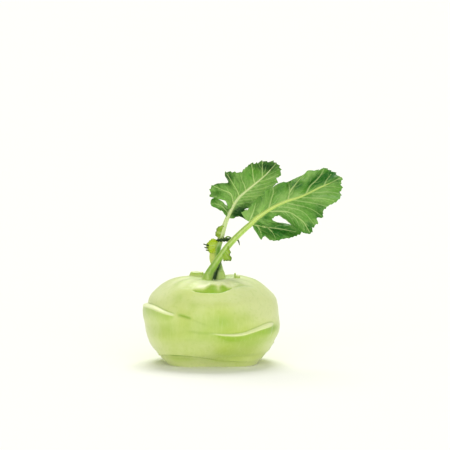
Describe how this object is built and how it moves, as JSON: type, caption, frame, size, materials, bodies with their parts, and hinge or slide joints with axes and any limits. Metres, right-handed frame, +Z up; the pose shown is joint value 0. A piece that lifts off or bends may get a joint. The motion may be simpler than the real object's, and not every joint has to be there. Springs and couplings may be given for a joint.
{
  "type": "kohlrabi",
  "caption": "Pale green swollen kohlrabi stem with stepped leaf scars and a flat cut base, and small lobed leaves rising on stalks from its crown.",
  "frame": {"origin": "centre of the flat knife-cut base, on the surface it rests on", "axes": "+Z up through the crown, -Y towards the side with the crescent scar on the crown, +X towards the side the leaves lean to"},
  "size_m": [0.135, 0.0914, 0.1371],
  "materials": {
    "flesh": "satin",
    "stalk": "satin",
    "leaf": "satin"
  },
  "bodies": {
    "root": {"bulb": "flesh", "front_leaf_stalk": "stalk", "front_leaf_blade": "leaf", "rear_leaf_stalk": "stalk", "rear_leaf_blade": "leaf"}
  },
  "joints": []
}
